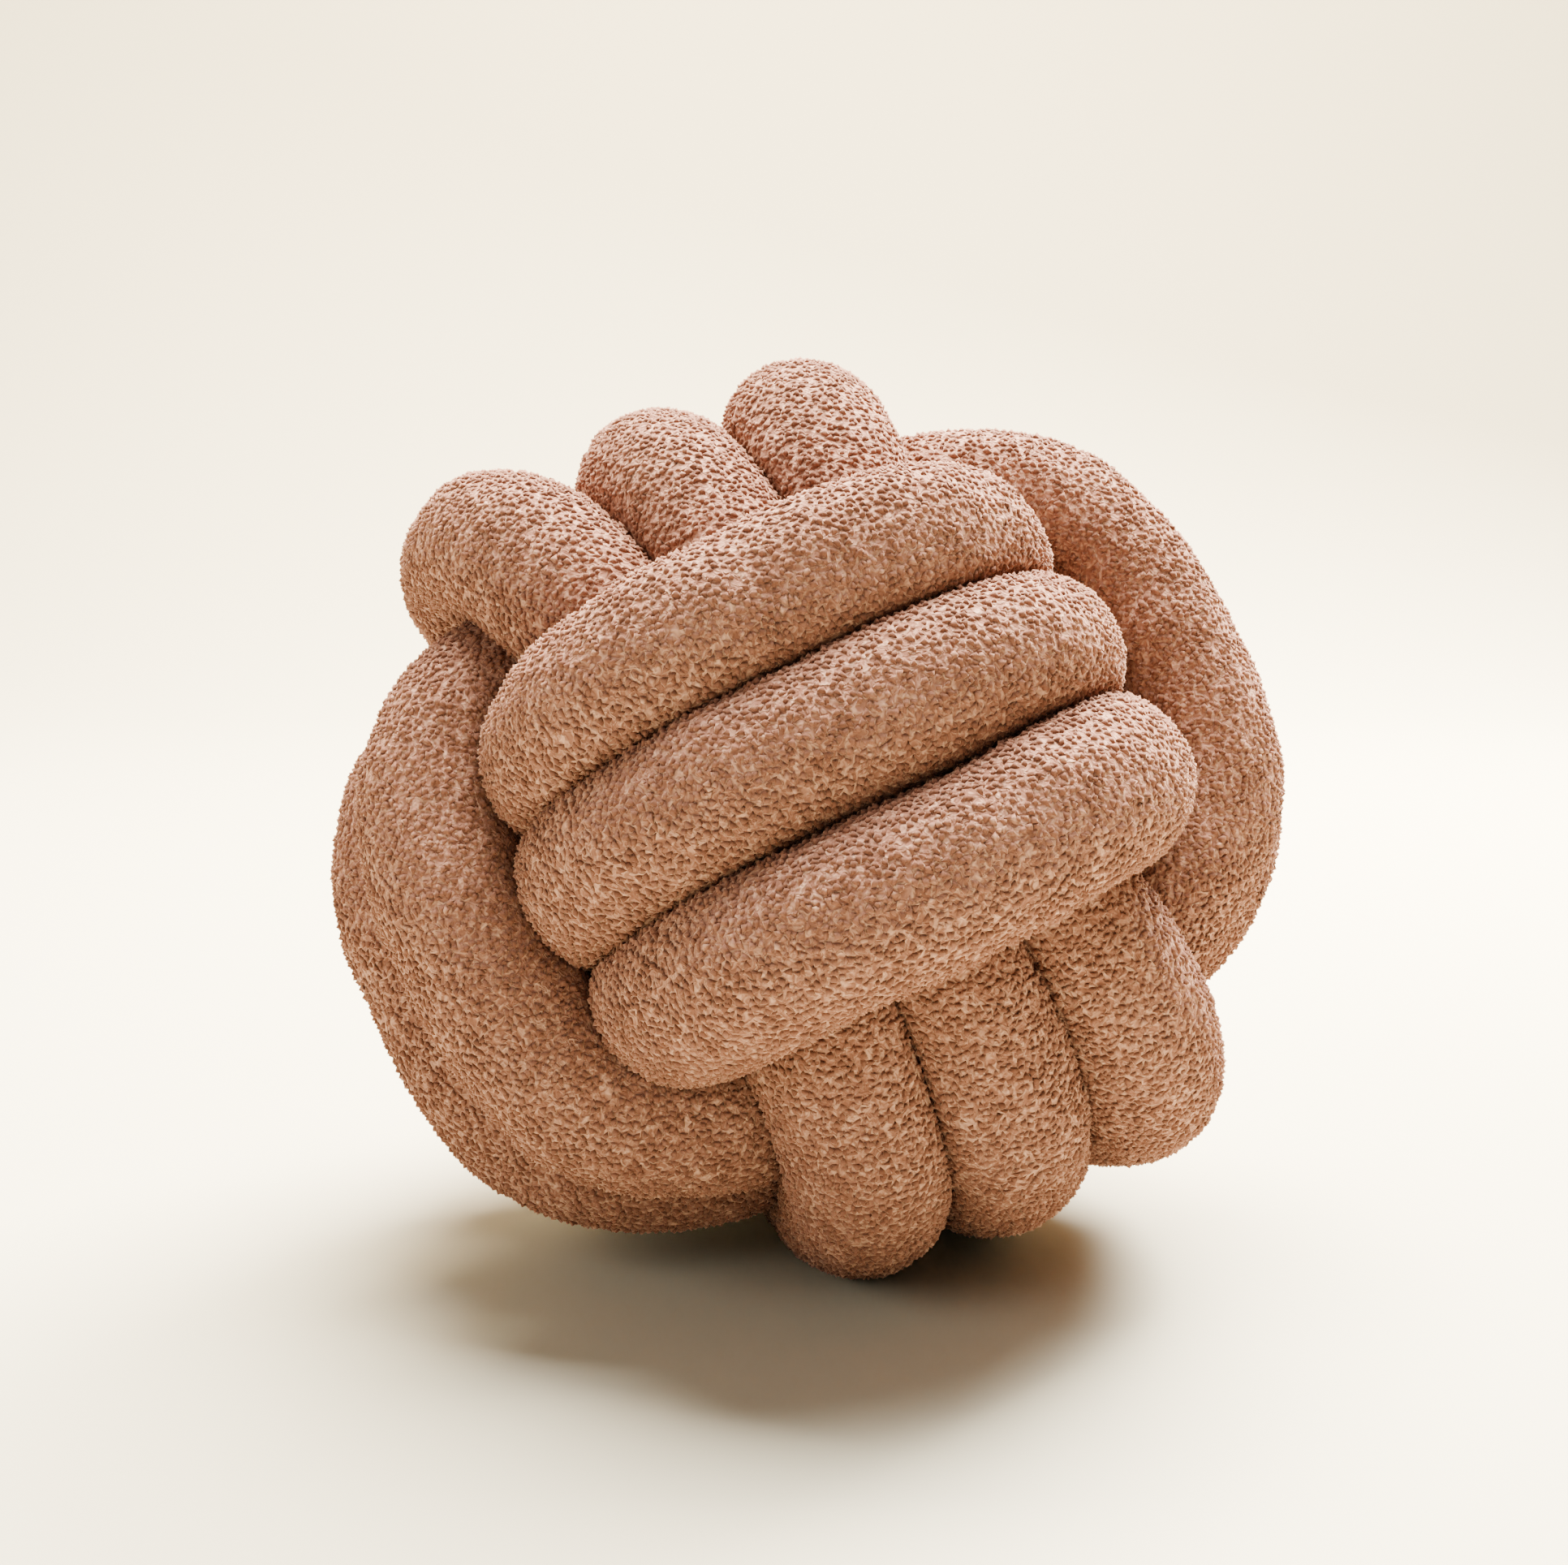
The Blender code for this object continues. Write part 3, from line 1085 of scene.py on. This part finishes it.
    def tree(self, inputs: TreeInputs) -> bpy.types.NodeTree:
        """The node tree that scatters curls over a stretch of skin.

        Args:
            inputs: Its inputs besides the skin.

        Returns:
            The tree, with a named input for each of its sizes.
        """
        tree = bpy.data.node_groups.new("scatter_curls", "GeometryNodeTree")
        face = tree.interface
        face.new_socket("Skin", in_out="INPUT", socket_type="NodeSocketGeometry")
        for name, (kind, _) in inputs.items():
            face.new_socket(name, in_out="INPUT", socket_type=f"NodeSocket{kind}")
        face.new_socket("Pile", in_out="OUTPUT", socket_type="NodeSocketGeometry")
        bench = NodeBench(tree)
        given = bench.add("NodeGroupInput").outputs
        other_seed = bench.maths("ADD", given["Seed"], self.other_seed)
        spread = bench.add("GeometryNodeDistributePointsOnFaces", {
            "Mesh": given["Skin"],
            "Distance Min": given["Spacing"],
            "Density Max": self.most_a_square_metre,
            "Density Factor": bench.attribute("open_air"),
            "Seed": given["Seed"],
        }, distribute_method="POISSON")
        curls = bench.add("GeometryNodeCollectionInfo", {
            "Collection": given["Curls"], "Separate Children": True, "Reset Children": True})
        stand = bench.add("GeometryNodeInstanceOnPoints", {
            "Points": spread.outputs["Points"],
            "Instance": curls.outputs["Instances"],
            "Pick Instance": True,
            "Instance Index": bench.random(given["Seed"], 0, given["Kinds"], whole=True),
            "Rotation": self.stance(bench, given, spread.outputs["Rotation"], other_seed),
            "Scale": bench.random(given["Seed"], given["Smallest"], given["Largest"]),
        })
        store = bench.add("GeometryNodeStoreNamedAttribute", {
            "Geometry": stand.outputs["Instances"],
            "Name": "curl_tone",
            "Value": self.tone(bench, given, other_seed),
        }, data_type="FLOAT", domain="INSTANCE")
        real = bench.add("GeometryNodeRealizeInstances",
                         {"Geometry": store.outputs["Geometry"]})
        dress = bench.add("GeometryNodeSetMaterial", {
            "Geometry": real.outputs["Geometry"], "Material": given["Fleece"]})
        bench.add("NodeGroupOutput", {"Pile": dress.outputs["Geometry"]})
        return tree

    def bed(self, skin: bpy.types.Object, first: int, last: int) -> bpy.types.Object:
        """The stretch of skin that shows and that one piece of pile stands on.

        Args:
            skin: The whole skin.
            first: Its first section.
            last: The section after its last one.

        Returns:
            A copy of those faces with their share of open air and the painted shade that their
            curls get.
        """
        faces = corners_of(skin.data).reshape(-1, 4)
        faces = faces[first * self.tube.sides:last * self.tube.sides]
        faces = faces[self.tube.air[faces].max(axis=1) > self.least_air]
        used, numbers = np.unique(faces, return_inverse=True)
        mesh = bpy.data.meshes.new("pile_bed")
        mesh.from_pydata(places_of(skin.data)[used].tolist(), [],
                         numbers.reshape(-1, 4).tolist())
        air = self.tube.air[used]
        keep(mesh, "open_air", np.clip(air / self.full_air, 0, 1))
        # Painted shade for the curls' colour: darker where less sky is open, in creases and between
        # strands.
        share = (air - self.darkest_shade_air) / (self.unshaded_air - self.darkest_shade_air)
        keep(mesh, "open_sky", self.darkest_shade_share + (1 - self.darkest_shade_share) * np.clip(share, 0, 1))
        return shown("pile_bed", mesh)

    def grow(self, name: str, bed: bpy.types.Object, tree: bpy.types.NodeTree,
             inputs: TreeInputs) -> bpy.types.Object:
        """Scatter curls over one stretch of skin and make them a plain mesh.

        Args:
            name: The new piece's name.
            bed: The stretch of skin.
            tree: The node tree that scatters them.
            inputs: The tree's inputs besides the skin.

        Returns:
            The piece of pile.
        """
        modifier = bed.modifiers.new("scatter_curls", "NODES")
        modifier.node_group = tree
        for item in tree.interface.items_tree:
            if item.name in inputs:
                modifier[item.identifier] = inputs[item.name][1]
        graph = bpy.context.evaluated_depsgraph_get()
        mesh = bpy.data.meshes.new_from_object(bed.evaluated_get(graph), depsgraph=graph)
        mesh.name = name
        bed.modifiers.remove(modifier)
        bpy.data.objects.remove(bed)
        places = places_of(mesh)
        places[:, 2] = np.maximum(places[:, 2], self.lowest)
        mesh.vertices.foreach_set("co", places.ravel())
        mesh.update()
        self.lay_out(mesh)
        return shown(name, mesh)

    def lay_out(self, mesh: bpy.types.Mesh) -> None:
        """Give the pile a map on which one place is one colour: tone with its painted shade across,
        height upwards.

        Args:
            mesh: The pile, with the tone and height of its curls.
        """
        count = len(mesh.vertices)
        tone, height = np.zeros(count, np.float32), np.zeros(count, np.float32)
        mesh.attributes["curl_tone"].data.foreach_get("value", tone)
        mesh.attributes["curl_height"].data.foreach_get("value", height)
        spread = np.arange(count) % CURL_CORNERS / CURL_CORNERS
        side = 1 - 2 * self.map_margin
        across = self.map_margin + (side - self.map_spread) * np.clip(tone, 0, 1)
        across += self.map_spread * spread
        used = corners_of(mesh)
        places = np.stack((across[used], self.map_margin + side * height[used]), axis=1)
        layer = mesh.uv_layers.new(name="OFBake")
        layer.data.foreach_set("uv", places.ravel().astype(np.float32))

    def build(self, skin: bpy.types.Object, finish: TeddyFleece) -> list[bpy.types.Object]:
        """Grow the pile on each band of the knot.

        Args:
            skin: The tube's skin.
            finish: The fleece's finish.

        Returns:
            Two pieces of pile for each band.
        """
        curls = self.curl_set()
        inputs = self.inputs(curls, finish.curls())
        tree = self.tree(inputs)
        pieces = []
        names = ("pile_upright_1", "pile_upright_2", "pile_front_1", "pile_front_2",
                 "pile_side_1", "pile_side_2")
        edges = np.linspace(0, self.tube.rings, len(names) + 1).astype(int)
        for name, first, last in zip(names, edges, edges[1:]):
            bed = self.bed(skin, int(first), int(last))
            pieces.append(self.grow(name, bed, tree, inputs))
        for curl in list(curls.objects):
            bpy.data.objects.remove(curl)
        bpy.data.collections.remove(curls)
        return pieces


# ---------------------------------------------------------------- studio
@dataclass(frozen=True)
class SoftLamp:
    """A square soft light. Its place and aim are in metres from the cushion's centre."""

    name: str
    place: Triple
    size: float
    power: float
    colour: Triple
    aim: Triple = (0.0, 0.0, 0.0)

    def hang(self, centre: Vector) -> None:
        """Hang the light.

        Args:
            centre: The cushion's centre.
        """
        light = bpy.data.lights.new(self.name, "AREA")
        light.size, light.energy, light.color = self.size, self.power, self.colour
        holder = shown(self.name, light)
        holder.location = Vector(self.place) + centre
        toward = Vector(self.aim) - Vector(self.place)
        holder.rotation_euler = toward.to_track_quat("-Z", "Y").to_euler()


LAMPS = (
    SoftLamp("back_right", (0.60, 0.90, 1.00), 0.8, 225.0, (1.0, 0.95, 0.88)),
    SoftLamp("front_left", (-1.1, -1.0, 0.75), 0.8, 12.0, (1.0, 0.95, 0.88)),
    SoftLamp("overhead", (0.1, 0.25, 1.2), 0.9, 145.0, (1.0, 0.96, 0.90)),
    SoftLamp("backdrop", (0.0, 0.9, 2.0), 1.5, 420.0, (1.0, 0.88, 0.68), (0.0, 2.2, 0.3)),
)


@dataclass
class Studio:
    """A plain pale sweep of paper, soft lights and the camera."""

    centre: np.ndarray
    lamps: tuple[SoftLamp, ...] = LAMPS
    air_colour: Triple = (1.0, 0.94, 0.84)
    air_strength: float = 0.15
    paper_colours: tuple[Triple, ...] = ((0.530, 0.490, 0.368), (0.540, 0.500, 0.378))
    paper_roughness: float = 0.95
    paper_specular: float = 0.1
    mottle_size: float = 1 / 3
    half_width: float = 9.0
    near_edge: float = -12.0
    bend_start: float = 1.1
    bend_radius: float = 1.3
    bend_steps: int = 24
    sweep_top: float = 4.5
    elevation: float = math.radians(10)
    distance: float = 0.66056
    lens: float = 53.515
    film_width: float = 36.0
    seen_at: tuple[float, float] = (1002.6, 1016.9)

    def sweep(self) -> bpy.types.Object:
        """A floor that curves up into a backdrop far behind.

        Returns:
            The sweep.
        """
        depths = [(self.near_edge, 0.0), (self.bend_start, 0.0)]
        radius = self.bend_radius
        for k in range(1, self.bend_steps + 1):
            angle = k / self.bend_steps * math.pi / 2
            depths.append((self.bend_start + radius * math.sin(angle),
                           radius * (1 - math.cos(angle))))
        depths.append((self.bend_start + radius, self.sweep_top))
        places = [(x, y, z) for x in (-self.half_width, self.half_width) for y, z in depths]
        count = len(depths)
        faces = [(k, count + k, count + k + 1, k + 1) for k in range(count - 1)]
        mesh = bpy.data.meshes.new("paper_sweep")
        mesh.from_pydata(places, [], faces)
        mesh.shade_smooth()
        mesh.materials.append(self.paper())
        return shown("paper_sweep", mesh)

    def paper(self) -> bpy.types.Material:
        """The sweep's matt cream paper, very slightly mottled.

        Returns:
            The material.
        """
        material, bench, shader = matt_material("cream_paper", self.paper_roughness,
                                                self.paper_specular)
        mottle = bench.noise(self.mottle_size, 2.0)
        bench.feed(shader, {"Base Color": bench.ramp(mottle, (0.0, 1.0), self.paper_colours)})
        return material

    def camera(self) -> None:
        """Put the camera where the cushion was seen from."""
        lens = bpy.data.cameras.new("view")
        lens.sensor_width = self.film_width
        lens.lens = self.lens
        lens.shift_x = -(self.seen_at[0] - PHOTO_WIDTH / 2) / PHOTO_WIDTH
        lens.shift_y = (self.seen_at[1] - PHOTO_HEIGHT / 2) / PHOTO_WIDTH
        holder = shown("view", lens)
        ahead = Vector((0.0, math.cos(self.elevation), -math.sin(self.elevation)))
        holder.location = Vector(self.centre) - ahead * self.distance
        holder.rotation_euler = (math.pi / 2 - self.elevation, 0.0, 0.0)
        bpy.context.scene.camera = holder

    def build(self) -> None:
        """Set up the sweep, the lights and the camera."""
        self.sweep()
        for lamp in self.lamps:
            lamp.hang(Vector(self.centre))
        world = bpy.data.worlds.new("studio_air")
        world.use_nodes = True
        air = world.node_tree.nodes["Background"]
        air.inputs["Color"].default_value = (*self.air_colour, 1.0)
        air.inputs["Strength"].default_value = self.air_strength
        bpy.context.scene.world = world
        self.camera()


def main() -> None:
    """Build the skin, its pile and the studio, and report each piece."""
    logging.basicConfig(level=logging.INFO, format="%(message)s")
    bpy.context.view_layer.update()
    finish = TeddyFleece()
    tube = KnotTube(KnotCourse())
    skin = tube.build(finish)
    log.info("tube_skin: %d faces", len(skin.data.polygons))
    pile = CurlPile(tube)
    pieces = pile.build(skin, finish)
    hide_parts("knot_tube")
    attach(skin, "root")
    for piece in pieces:
        piece.parent = skin
        log.info("%s: %d triangles", piece.name, len(piece.data.polygons))
    Studio(tube.centre).build()


if __name__ == "__main__":
    main()
